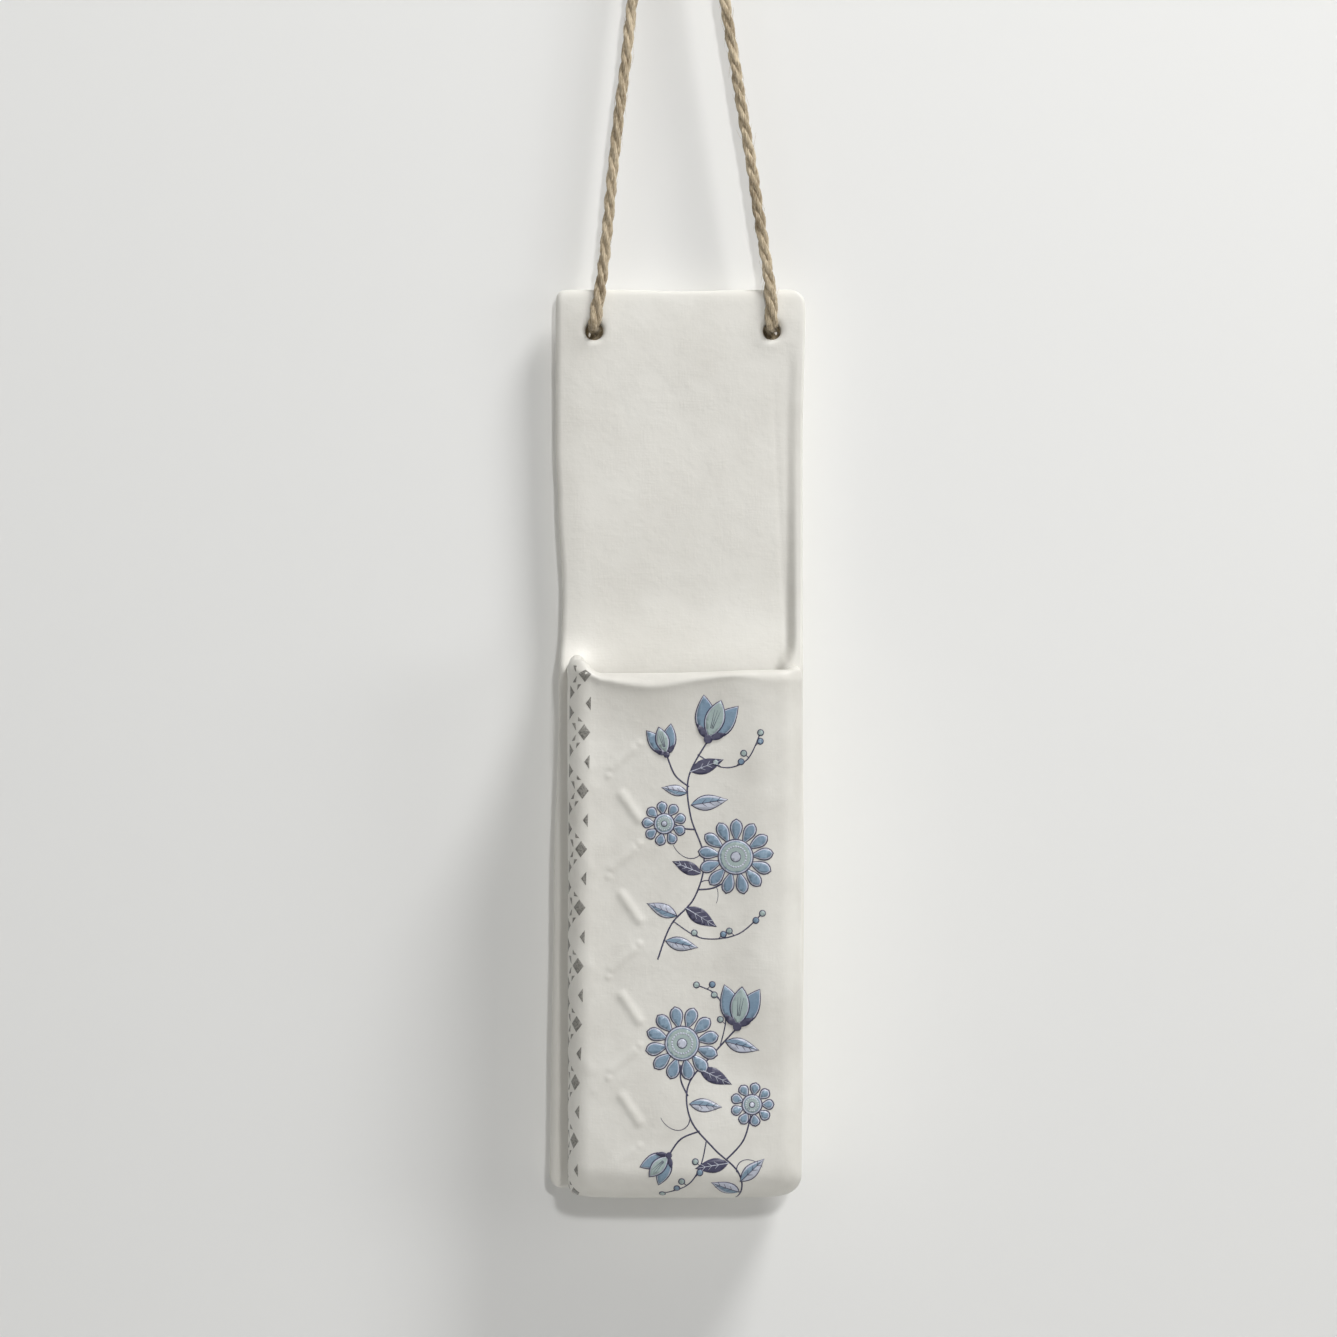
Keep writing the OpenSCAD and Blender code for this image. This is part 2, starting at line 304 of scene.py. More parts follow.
# Twine: the route of the loop as the construction has it, and each end through its hole to its knot
twine = {
    "diameter": 3 * mm,
    "plane": -12.3,          # mm in front of the wall
    "plies": 3,
    "strands": 10,           # strands in each ply
    "plyOut": 0.78,          # mm from the cord's middle to a ply's middle
    "strandOut": 0.56,       # mm from a ply's middle to a strand's middle
    "strandSize": 0.25,      # radius of a strand, mm
    "lay": 17,               # mm of cord for one turn of the plies
    "strandLay": 15,         # mm for one turn of a ply's strands, the other way
    "step": 1.1,
    "tight": 0.96,           # how wide the taut cord is laid
    "looseEnd": 1.22,        # and where it opens out at the holes, over this many mm
    "looseRun": 10,
    "endMost": 1.04,         # widest inside the holes and in the knots
    "cut": 5,                # samples above the hole where the bending end starts
    "strays": 420,
    "strayLength": (1.6, 5.5), "strayLift": (0.15, 0.42),
    "strayFrom": 1.1, "strayOut": 1.25, "straySize": 0.05,
}
loopRoute = [       # mm across, mm up
    (-21.9, -136.0), (-20.5, -128.0), (-19.4, -120.0), (-18.5, -112.0), (-17.7, -103.5), (-16.9, -95.0),
    (-16.0, -86.5), (-15.0, -78.0), (-13.9, -69.5), (-12.9, -61.0), (-12.0, -52.5), (-11.0, -44.0),
    (-10.0, -35.5), (-9.0, -27.0), (-8.0, -18.5), (-7.0, -10.0), (-6.1, -2.0), (-5.0, 0.6), (-3.0, 2.7),
    (0.0, 3.5), (3.0, 2.7), (5.0, 0.6), (6.0, -2.0), (7.1, -10.0), (8.3, -18.5), (9.5, -27.0),
    (10.6, -35.5), (11.8, -44.0), (13.0, -52.5), (14.4, -61.0), (15.8, -69.5), (17.1, -78.0),
    (18.5, -86.5), (19.9, -95.0), (21.2, -103.5), (22.5, -112.0), (23.8, -120.0), (24.8, -128.0),
    (25.1, -136.0),
]
# From a hole's mouth to the knot's cut end, mm from the hole's middle: across, out from the wall, up
endRoute = [
    (0, -10.7, 1.3), (0, -8.6, 1.0), (0, -6.4, 0.9), (-1.3, -4.6, 2.0), (-2.9, -3.6, 1.1),
    (-2.9, -2.6, -1.3), (-0.9, -2.3, -2.9), (1.6, -2.6, -2.7), (3.0, -3.4, -0.6), (2.2, -4.1, 1.6),
    (0.0, -3.6, 2.6), (-0.6, -2.6, 0.8), (0.4, -2.4, -1.6), (1.0, -3.0, -4.4), (1.2, -3.3, -7.4),
    (0.9, -3.4, -10.4),
]


# A smooth line through the points, sampled about every step
def smoothLine(points, step):
    line = []
    for i in range(len(points) - 1):
        a = points[max(i - 1, 0)]
        b, c = points[i], points[i + 1]
        d = points[min(i + 2, len(points) - 1)]
        count = max(1, round((c - b).length / step))
        for k in range(count):
            t = k / count
            line.append(0.5 * (2 * b + (c - a) * t + (2 * a - 5 * b + 4 * c - d) * t ** 2
                               + (3 * b - a - 3 * c + d) * t ** 3))
    line.append(points[-1])
    return line


def twineLine():
    s = twine
    loop = [Vector((x, s["plane"], z)) for x, z in loopRoute]
    holeZ = loop[0].z - endRoute[0][2]
    ends = []
    for top in (loop[0], loop[-1]):
        side = -1 if top.x < 0 else 1
        ends.append([Vector((top.x + side * x, y, holeZ + z)) for x, y, z in endRoute])
    points = ends[0][::-1] + loop + ends[1]
    line = smoothLine(points, s["step"])
    firstLoop = min(range(len(line)), key=lambda i: (line[i] - loop[0]).length)
    lastLoop = min(range(len(line)), key=lambda i: (line[i] - loop[-1]).length)
    return line, firstLoop, lastLoop


# A side and an up at each point, carried along the line without a twist
def carriedFrames(line):
    side = Vector((0, 1, 0))
    frames = []
    for i, point in enumerate(line):
        ahead = (line[min(i + 1, len(line) - 1)] - line[max(i - 1, 0)]).normalized()
        side = (side - ahead * side.dot(ahead)).normalized()
        frames.append((point, side, ahead.cross(side)))
    return frames


def addSpline(curve, points, radii):
    spline = curve.splines.new("POLY")
    spline.points.add(len(points) - 1)
    for target, point, radius in zip(spline.points, points, radii):
        target.co = (*(point * mm), 1)
        target.radius = radius


def layStrands(curve, frames, lengths, loosen, span):
    s = twine
    for ply in range(s["plies"]):
        for strand in range(s["strands"]):
            seed = 7.3 * ply + 1.9 * strand
            points, radii = [], []
            for i in range(span[0], span[1] + 1):
                centre, side, up = frames[i]
                along = lengths[i]
                wide = loosen[i] * (1 + 0.09 * noise.noise(Vector((along * 0.13, ply * 5.0, 0))))
                a = -2 * math.pi * (along / s["lay"] + ply / s["plies"])
                b = 2 * math.pi * (along / s["strandLay"] + strand / s["strands"]) + ply
                out = s["strandOut"] * wide * (1 + 0.42 * noise.noise(Vector((along * 0.35, seed, 3.1))))
                points.append(centre + wide * s["plyOut"] * (side * math.cos(a) + up * math.sin(a))
                              + out * (side * math.cos(b) + up * math.sin(b)))
                radii.append(s["strandSize"] * (1 + 0.45 * noise.noise(Vector((along * 0.5, seed, 9.7)))))
            addSpline(curve, points, radii)


def layStrays(curve, frames, span, count, rng):
    s = twine
    for _ in range(count):
        i = rng.randint(span[0] + 1, span[1] - 1)
        centre, side, up = frames[i]
        turn = rng.uniform(0, 2 * math.pi)
        out = side * math.cos(turn) + up * math.sin(turn)
        along = up.cross(side) * rng.choice((-1, 1))
        length = rng.uniform(*s["strayLength"])
        lift = rng.uniform(*s["strayLift"])
        bend = Vector((rng.uniform(-1, 1), rng.uniform(-0.6, 0.6), rng.uniform(-1, 1))) * 0.35
        steps = 6
        points, radii = [], []
        for k in range(steps + 1):
            t = k / steps
            reach = s["strayFrom"] + min(length * lift * t * (1 - 0.35 * t), s["strayOut"])
            points.append(centre + out * reach + along * length * t * 0.9 + bend * t * t)
            radii.append(s["straySize"] * (1 - 0.6 * t))
        addSpline(curve, points, radii)


def meshFromCurve(curve, name):
    holder = putObject(name + "Curve", curve)
    bpy.context.view_layer.update()
    evaluated = holder.evaluated_get(bpy.context.evaluated_depsgraph_get())
    mesh = bpy.data.meshes.new_from_object(evaluated)
    mesh.name = name
    bpy.data.objects.remove(holder)
    mesh.materials.clear()
    mesh.materials.append(jute)
    mesh.shade_smooth()
    return putObject(name, mesh)


def makeTwine():
    s = twine
    rng = random.Random(11)
    line, first, last = twineLine()
    frames = carriedFrames(line)
    lengths = [0]
    for a, b in zip(line, line[1:]):
        lengths.append(lengths[-1] + (b - a).length)
    loosen = []
    for i in range(len(line)):
        gap = min(abs(lengths[i] - lengths[first]), abs(lengths[i] - lengths[last]))
        wide = s["tight"] + (s["looseEnd"] - s["tight"]) * bell(gap, 0, s["looseRun"])
        loosen.append(wide if first < i < last else min(wide, s["endMost"]))
    cut = s["cut"]
    spans = {
        "leftEnd": (0, first + cut),
        "loop": (first + cut, last - cut),
        "rightEnd": (last - cut, len(line) - 1),
    }
    made = {}
    for label, span in spans.items():
        curve = bpy.data.curves.new(label, "CURVE")
        curve.dimensions = "3D"
        curve.bevel_depth = mm
        curve.bevel_resolution = 1
        curve.use_fill_caps = True
        layStrands(curve, frames, lengths, loosen, span)
        share = (lengths[span[1]] - lengths[span[0]]) / lengths[-1]
        layStrays(curve, frames, span, int(s["strays"] * share), rng)
        made[label] = meshFromCurve(curve, "twine_" + label)
    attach(made["loop"], "twine")
    for label in ("leftEnd", "rightEnd"):
        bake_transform(made[label])
    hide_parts("hanging_twine")
    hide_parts("left_knot")
    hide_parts("right_knot")
    for piece in made.values():
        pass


makeTwine()


# Hook: the construction's own solid, in brass
def dressHook():
    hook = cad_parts["wall_hook"]
    hook.data.materials.clear()
    hook.data.materials.append(brass)


dressHook()
print("hook dressed")


def meshFrom(bm, name, materials):
    mesh = bpy.data.meshes.new(name)
    bm.to_mesh(mesh)
    bm.free()
    for material in materials:
        mesh.materials.append(material)
    return mesh


def pick(geom, kind):
    return [g for g in geom if isinstance(g, kind)]


def finishPiece(bm, name, materials, replaced):
    bmesh.ops.scale(bm, vec=(mm, mm, mm), verts=bm.verts[:])
    mesh = meshFrom(bm, name, materials)
    mesh.shade_smooth()
    piece = putObject(name, mesh)
    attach(piece, "vase")
    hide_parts(*replaced)
    print(name, "made,", len(mesh.polygons), "faces")
    return piece


# Corners of the construction's solids, in mm
slabLow, slabHigh = [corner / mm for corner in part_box("back_slab")]
pocketLow, pocketHigh = [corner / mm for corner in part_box("pocket_front")]
baseLow, baseHigh = [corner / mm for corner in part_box("pocket_base")]
faceY = baseHigh.y                # the slab's front face
slabTop, footZ = slabHigh.z + 0.6, slabLow.z
rimZ = pocketHigh.z - 5.5


# Back slab: hand-rolled, its edges wander, and its right edge is turned up towards the pocket
slab = {
    "left": -32.2, "right": 34.2,
    "leftRadius": 2.2, "rightRadius": 4.2,
    "cell": 1.8, "edgeCuts": 2,
    "crowd": (1.8, 9),       # rows and columns crowd by this much, over this far, at the top and right
    "fineAcross": (0.64, 0.97), "fineBelow": 0.84,      # finer columns beside the turned-up edge
    # mm down from the top, mm to the right
    "leftWander": [(0, 0), (42, 0), (56, 0.6), (81, 1.8), (108, 0.9), (161, -0.5), (214, -1.2), (238, -1.6)],
    "rightWander": [(0, 0), (42, -0.8), (108, -0.8), (161, -0.5), (214, -0.8), (238, -2.4)],
    "sag": 0.5, "sagX": 2, "sagWidth": 12,              # the dip in the top edge
    "topRound": (2.4, 1.7),  # the face rounds over at the top edge: height, depth
    "curlTop": 0.45, "curlFoot": 3.2, "curlGrowth": 2.4,
    "curlWidth": 4.4, "curlSlope": 2.6,
    "curlFillet": 3.0,       # how far the curl widens where it runs into the pocket
    "holes": [(-21.9, -137.3), (25.1, -137.3)],
    "holeRings": [3.7, 3.0, 2.45],
    "holeRim": (0.3, 3.9, 0.9),                         # raised clay: height, radius, width
    "holeLip": (0.5, 2.6, 0.5),                         # and the rounding inside it
    "wave": 0.16, "lumps": 0.05,
    "bend": 3.0,             # how far the face comes forward just above the rim
    "lean": 1.0,             # and at its top edge
    "edgeRoll": (8.5, 0.6),  # the left edge falls back over this width by this much
    "creaseDepth": 0.1, "creaseX": 24.2, "creaseLean": 0.05, "creaseWidth": 0.6,
    "ear": [(-30.5, -227), 6, (7, 5)],      # clay drawn up where the lip's left end meets it
}


# The value at a depth in a table of depths and values
def along(table, depth):
    for (d0, v0), (d1, v1) in zip(table, table[1:]):
        if depth <= d1:
            return v0 + (v1 - v0) * ease(depth, d0, d1)
    return table[-1][1]


def cornerInset(fromEnd, radius):
    low = max(radius - fromEnd, 0)
    return radius - math.sqrt(radius * radius - low * low)


def crowded(distance):
    near, far = slab["crowd"]
    return distance - near * (1 - math.exp(-distance / near)) * math.exp(-distance / far)


def slabPlace(u, v):
    s = slab
    depth = crowded((slabTop - footZ) * (1 - v))
    fromEnd = min(depth, slabTop - footZ - depth)
    left = s["left"] + along(s["leftWander"], depth) + cornerInset(fromEnd, s["leftRadius"])
    right = s["right"] + along(s["rightWander"], depth) - cornerInset(fromEnd, s["rightRadius"])
    x = right - crowded((right - left) * (1 - u))
    sag = s["sag"] * bell(x, s["sagX"], s["sagWidth"]) * ease(v, 0.95, 1)
    return x, slabTop - depth - sag, left, right


def slabFront(x, z, left, right):
    s = slab
    depth = slabTop - z
    down = min(max(depth / (slabTop - rimZ), 0), 1)
    height = s["curlTop"] + (s["curlFoot"] - s["curlTop"]) * down ** s["curlGrowth"]
    height *= ease(depth, 0, 9) * (1 - ease(rimZ - z, 0, 7))
    start = right - s["curlWidth"] - s["curlFillet"] * ease(rimZ - z, -9, 0.5) ** 2
    curl = height * ease(x, start, start + s["curlSlope"])
    wave = s["wave"] * ripple(x, z, 0.045, 0.03, 4.2)
    wave += s["lumps"] * ripple(x, z, 0.13, 0.1, 7.7)
    creaseX = s["creaseX"] + depth * s["creaseLean"]
    crease = s["creaseDepth"] * bell(x, creaseX, s["creaseWidth"]) * ease(depth, 20, 42)
    roll = s["edgeRoll"][1] * ease(x, left + s["edgeRoll"][0], left) ** 2
    place, reach, spread = s["ear"]
    ear = reach * math.exp(-((x - place[0]) / spread[0]) ** 2 - ((z - place[1]) / spread[1]) ** 2)
    bend = s["bend"] * ease(-z, -rimZ - 28, -rimZ + 3) ** 2 + s["lean"] * ease(depth, 45, 3)
    over = max(1 - depth / s["topRound"][0], 0)
    rounded = s["topRound"][1] * (1 - math.sqrt(1 - over * over))
    return faceY - curl - wave - ear - bend + crease + roll + rounded


# Takes out the 16 cells round the place, then turns the gap's edge into rings, the last one the hole
def punchHole(bm, place, rings):
    middle = min(bm.verts, key=lambda v: (v.co.x - place[0]) ** 2 + (v.co.z - place[1]) ** 2)
    around = list({g for f in middle.link_faces for v in f.verts for g in v.link_faces})
    edges = {e for f in around for e in f.edges if any(g not in around for g in e.link_faces)}
    bmesh.ops.delete(bm, geom=around, context="FACES")
    edges = [e for e in edges if e.is_valid]
    for n, radius in enumerate(rings):
        if n:
            made = bmesh.ops.extrude_edge_only(bm, edges=edges)["geom"]
            edges = pick(made, bmesh.types.BMEdge)
        loop = {v for e in edges for v in e.verts}
        for v in loop:
            out = Vector((v.co.x - place[0], 0, v.co.z - place[1])).normalized() * radius
            v.co.x = place[0] + out.x
            v.co.z = place[1] + out.z


def makeSlab():
    s = slab
    bm = bmesh.new()
    columns = round((s["right"] - s["left"]) / s["cell"])
    rows = round((slabTop - footZ) / s["cell"])
    bmesh.ops.create_grid(bm, x_segments=columns, y_segments=rows, size=1)
    near, far = s["fineAcross"]
    strip = [e for e in bm.edges if abs(e.verts[0].co.y - e.verts[1].co.y) < 1e-4
             and all(near < v.co.x < far and v.co.y < s["fineBelow"] for v in e.verts)]
    bmesh.ops.subdivide_edges(bm, edges=strip, cuts=2, use_grid_fill=True)
    for v in bm.verts:
        x, z, left, right = slabPlace((v.co.x + 1) / 2, (v.co.y + 1) / 2)
        v.co = (x, 0, z)
    for place in s["holes"]:
        punchHole(bm, place, s["holeRings"])
    copied = bmesh.ops.duplicate(bm, geom=bm.verts[:] + bm.edges[:] + bm.faces[:])["geom"]
    backVerts = set(pick(copied, bmesh.types.BMVert))
    for v in bm.verts:
        x, z = v.co.x, v.co.z
        if v in backVerts:
            v.co.y = slabHigh.y - 0.1 * (1 + ripple(x, z, 0.05, 0.03, 9))
        else:
            left, right = slabPlace(1, (z - footZ) / (slabTop - footZ))[2:]
            v.co.y = slabFront(x, z, left, right)
            for place in s["holes"]:
                gap = math.hypot(x - place[0], z - place[1])
                v.co.y -= s["holeRim"][0] * bell(gap, *s["holeRim"][1:])
                v.co.y += s["holeLip"][0] * bell(gap, *s["holeLip"][1:])
    loops = boundaryLoops(bm)
    fronts = [loop for loop in loops if not any(v in backVerts for e in loop for v in e.verts)]
    backs = [loop for loop in loops if loop not in fronts]
    for loop in fronts:
        middle = loopMiddle(loop)
        twin = min(backs, key=lambda back: (loopMiddle(back) - middle).length + abs(len(back) - len(loop)))
        made = bmesh.ops.bridge_loops(bm, edges=loop + twin)
        across = [e for e in made["edges"]
                  if (e.verts[0] in backVerts) != (e.verts[1] in backVerts)]
        bmesh.ops.subdivide_edges(bm, edges=across, cuts=s["edgeCuts"])
    bmesh.ops.recalc_face_normals(bm, faces=bm.faces[:])
    piece = finishPiece(bm, "slab_body", [whiteGlaze], ["back_slab"])
    modifier = piece.modifiers.new("soften", "SUBSURF")
    modifier.levels = 1
    modifier.render_levels = 1


# The open edges of a mesh, one list of edges for each loop
def boundaryLoops(bm):
    left = {e for e in bm.edges if e.is_boundary}
    loops = []
    while left:
        start = left.pop()
        loop, tip = [start], start.verts[1]
        while True:
            ahead = next((e for e in tip.link_edges if e in left), None)
            if ahead is None:
                break
            left.remove(ahead)
            loop.append(ahead)
            tip = ahead.other_vert(tip)
        loops.append(loop)
    return loops


def loopMiddle(loop):
    points = [v.co for e in loop for v in e.verts]
    return sum(points, Vector()) / len(points)


makeSlab()


# Pocket: one slab of clay wrapped round three sides, with a rounded lip and a pressed trellis
pocket = {
    "wall": 4.2,
    "cornerRadius": 6.5, "footRadius": 9, "footCornerRadius": 6.4,
    "footLeftPower": 4,            # the foot's left corner is squarer than a quarter circle, which is 2
    "crown": 0.85,
    "columns": 118, "rows": 160,
    "rimShare": 0.08,              # share of the rows that crowd into the lip
    "rimRun": 22,                  # mm of rows that follow the lip's height
    "rimFlat": 0.12,
    "flare": 0.4, "flareWidth": 0.9,
    "hollow": 1.8, "hollowRun": 7,      # how far the front falls back under the lip, and how soon
    "hollowFoot": (-352, -295),
    "wave": 0.22, "lumps": 0.09,
    "luting": 0.5, "lutingWidth": 1.6,  # clay smeared up where the sides meet the slab
    "outMost": (0.8, 0.4),         # what stands out further than this is pressed back over this
    "crisp": 0.75,                 # how sharp the lip's lower edge is along the front
    "rightRound": 0.7,             # how much of the lip's rounding is gone at the right side
}
# The lip's height along the front, and how deep it is rolled
lip = {
    "leftEar": 3.6, "leftShoulder": 1.2, "rightEar": 1.1, "slope": 0.9, "drop": 0.8,
    "roll": 1.3, "rollMiddle": 2.2, "middleX": -7, "middleWidth": 10.5, "rollRight": 1.7, "rollCorner": 1.8,
}
footTop = footZ + pocket["footRadius"]
frontY = baseLow.y - pocket["footRadius"]
flatLeft = pocketLow.x + pocket["cornerRadius"]
flatRight = pocketHigh.x - pocket["cornerRadius"]
cornerRun = pocket["cornerRadius"] * math.pi / 2
sideRun = faceY - frontY - pocket["cornerRadius"] + 0.6
sheetLeft = flatLeft - cornerRun - sideRun
sheetRight = flatRight + cornerRun + sideRun
sheetFoot = footTop - pocket["footRadius"] * math.pi / 2

# Trellis pressed into the clay: long steep bars, short flat bars and soft dots where they meet
trellis = {
    "pitch": 25.9,
    "leftX": -19.6, "rightX": -7.8,
    "steepStart": -253.2, "steepEnd": -270.2,
    "halfWidth": 1.2, "height": 0.42,
    "steepGaps": (7.2, 5.8), "steepShift": 1.3,      # a bar stops short of its corners
    "flatGaps": (4.5, 3.6), "flatShare": 0.7,
    "lowCorner": 2.6,        # how far the left corners sit below the steep bars' line
    "dot": 2.6, "dotSize": 0.95, "dotHeight": 0.55,
    "faint": 0.16,           # strength of the columns that are nearly pressed away
    "fineBand": (-21.5, -4.5),      # finer cells across the clearest column
}


def squareInset(fromEnd, radius, power):
    low = min(max(1 - fromEnd / radius, 0), 1)
    return radius * (1 - (1 - low ** power) ** (1 / power))


# The place and the outward direction at x, which runs round the pocket's outside and is the true
# place across its flat front
def planPoint(x, sideIn, frontIn, radius):
    left = pocketLow.x + sideIn + radius
    right = pocketHigh.x - sideIn - radius
    y = frontY + frontIn + radius
    if flatLeft <= x <= flatRight:
        share = (x - flatLeft) / (flatRight - flatLeft)
        return left + (right - left) * share, y - radius, 0, -1
    side, over, centre = (-1, flatLeft - x, left) if x < flatLeft else (1, x - flatRight, right)
    if over <= cornerRun:
        a = over / pocket["cornerRadius"]
        nx, ny = side * math.sin(a), -math.cos(a)
        return centre + nx * radius, y + ny * radius, nx, ny
    share = (over - cornerRun) / sideRun
    return centre + side * radius, y + (faceY + 0.6 - y) * share, side, 0


def footTurn(z):
    p = pocket
    turn = min(max((footTop - z) / p["footRadius"], 0), math.pi / 2)
    trueZ = z if turn == 0 else footTop - p["footRadius"] * math.sin(turn)
    return turn, trueZ


def crestAt(x):
    beyond = flatLeft - x
    earLeft = lip["leftEar"] * ease(beyond, -2.5, 5) + lip["leftShoulder"] * ease(beyond, 5, 24)
    earRight = lip["rightEar"] * ease(x, flatRight + 6, flatRight + 29)
    slope = lip["slope"] * ease(x, -8, 28)
    return rimZ - lip["drop"] + slope + earLeft + earRight


def lipAt(x):
    middle = lip["rollMiddle"] * bell(x, lip["middleX"], lip["middleWidth"])
    corner = lip["rollCorner"] * ease(flatLeft - x, -1, 4)
    return lip["roll"] + middle + lip["rollRight"] * ease(x, 14, 26) + corner


# A soft bar from a to b that stops short of both by the gaps
def barHeight(x, z, a, b, gaps):
    t = trellis
    d = b - a
    length = d.length
    d = d / length
    p = Vector((x, z)) - a
    run = min(max(p.dot(d), gaps[0]), length - gaps[1])
    away = (p - d * run).length
    return t["height"] * math.exp(-(away / t["halfWidth"]) ** 2.3)


def trellisAt(x, z):
    t = trellis
    step = t["rightX"] - t["leftX"]
    cell = math.floor((x - t["leftX"]) / step)
    if cell < -1 or cell > 3:
        return 0
    strength = t["faint"] + 0.34 * ease(x, 26, 28)
    if cell == 0:
        strength = 1
    if cell < 0:
        strength = t["faint"] + 0.4 * ease(x, -24.5, -22.5)
    even = cell % 2 == 0
    x0 = t["leftX"] + cell * step
    best = 0
    row = math.floor((t["steepStart"] - z) / t["pitch"])
    for k in (row - 1, row, row + 1):
        top = t["steepStart"] - k * t["pitch"]
        mid = t["steepEnd"] - k * t["pitch"]
        near, far = (x0, x0 + step) if even else (x0 + step, x0)
        shift = Vector((t["steepShift"] if even else -t["steepShift"], 0))
        low = Vector((0, t["lowCorner"]))
        a, b, c = Vector((near, top)), Vector((far, mid)), Vector((near, top - t["pitch"]))
        best = max(best, barHeight(x, z, a + shift, b + shift, t["steepGaps"]),
                   t["flatShare"] * barHeight(x, z, b, c - low / 2, t["flatGaps"]))
        for node in (a - low, b, c - low):
            for sign in (-1, 1):
                dot = Vector((x, z)) - node - Vector((sign * t["dot"] * 0.75, sign * t["dot"] * 0.62))
                best = max(best, t["dotHeight"] * t["height"] * math.exp(-(dot.length / t["dotSize"]) ** 3))
    inside = ease(rimZ - z, 12, 20) * ease(z - footTop, -2, 8)
    return best * strength * inside


# How far the outside stands off the plain wrapped wall: crown, lip, trellis and unevenness
def swellAt(x, z, turn):
    p = pocket
    middle = (flatLeft + flatRight) / 2
    share = min(abs(x - middle) / (flatRight - middle), 1)
    bulge = p["crown"] * (1 - 0.6 * share ** 2 - 0.4 * share ** 6) * math.cos(turn)
    below = crestAt(x) - z
    roll = lipAt(x)
    bead = p["flare"] * bell(below, roll - 0.3, p["flareWidth"])
    bead *= (1 - 0.75 * ease(x, 6, 20)) * (1 - 0.6 * ease(flatLeft - x, 0, 9))
    wave = p["wave"] * ripple(x, z, 0.05, 0.035, 1.7)
    wave += p["lumps"] * ripple(x, z, 0.12, 0.1, 3.3)
    end = min(x - sheetLeft, sheetRight - x)
    luted = p["luting"] * bell(end, 0, p["lutingWidth"]) * ease(z, footTop, footTop + 6)
    hollow = p["hollow"] * (1 - math.exp(-max(below - roll, 0) / p["hollowRun"])) * ease(z, *p["hollowFoot"])
    hollow *= (1 - ease(x, 8, 24)) * ease(x, flatLeft - 7, flatLeft + 6)
    out = bulge + bead + wave + luted - hollow + trellisAt(x, z)
    most, press = p["outMost"]
    return out if out < most else most + press * (1 - math.exp((most - out) / press))


# How far a wall's face is drawn in as it rounds over into the lip
def rimInset(below, drop, crisp=0.0):
    if below >= drop:
        return 0
    up = 1 - below / drop
    arc = 1 - math.sqrt(max(1 - up * up, 0))
    return (pocket["wall"] / 2 - pocket["rimFlat"]) * (arc + (up ** 1.3 - arc) * crisp)


# The true place of a point x, z of the flat sheet on the pocket's outside, and on its inside
def outerPlace(x, z, lift=0):
    p = pocket
    turn, trueZ = footTurn(z)
    frontIn = p["footRadius"] * (1 - math.cos(turn))
    power = p["footLeftPower"] + (2 - p["footLeftPower"]) * ease(x, -20, 5)
    sideIn = squareInset(trueZ - footZ, p["footCornerRadius"], power)
    px, py, nx, ny = planPoint(x, sideIn, frontIn, p["cornerRadius"])
    crisp = p["crisp"] * ease(x, flatLeft - 3, flatLeft + 5) * (1 - ease(x, 8, 20))
    kept = 1 - p["rightRound"] * ease(x, flatRight + 1, flatRight + 8)
    out = swellAt(x, z, turn) + lift - rimInset(crestAt(x) - z, lipAt(x), crisp) * kept
    flat = math.cos(turn)
    return Vector((px + nx * out * flat, py + ny * out * flat, trueZ - out * math.sin(turn)))


def innerPlace(x, z):
    p = pocket
    floorZ = footZ + p["wall"]
    turn, trueZ = footTurn(z)
    startTurn = math.asin((footTop - floorZ) / p["footRadius"])
    spread = min(max((turn - startTurn) / (math.pi / 2 - startTurn), 0), 1)
    sideIn = p["wall"] + (p["footCornerRadius"] - p["wall"]) * spread
    frontIn = p["wall"] + (p["footRadius"] - p["wall"]) * spread
    radius = max(p["cornerRadius"] - p["wall"], 1) + (p["cornerRadius"] - 2.3) * spread
    px, py, nx, ny = planPoint(x, sideIn, frontIn, radius)
    below = crestAt(x) - z
    back = ease(flatLeft - x, 5, cornerRun + sideRun)
    out = (rimInset(below, 1.7 + 1.5 * back) + 0.18 * ripple(x, z, 0.06, 0.05, 6.1)) * (1 - spread)
    return Vector((px + nx * out, py + ny * out, max(trueZ, floorZ)))


# The height of a row of the flat sheet, with rows crowded into the lip
def sheetRow(v):
    share = pocket["rimShare"]
    length = rimZ - sheetFoot
    crowd = share * length / (2 - share)
    fromTop = 1 - v
    if fromTop < share:
        down = crowd * (fromTop / share) ** 2
    else:
        down = crowd + (length - crowd) * (fromTop - share) / (1 - share)
    return rimZ - down


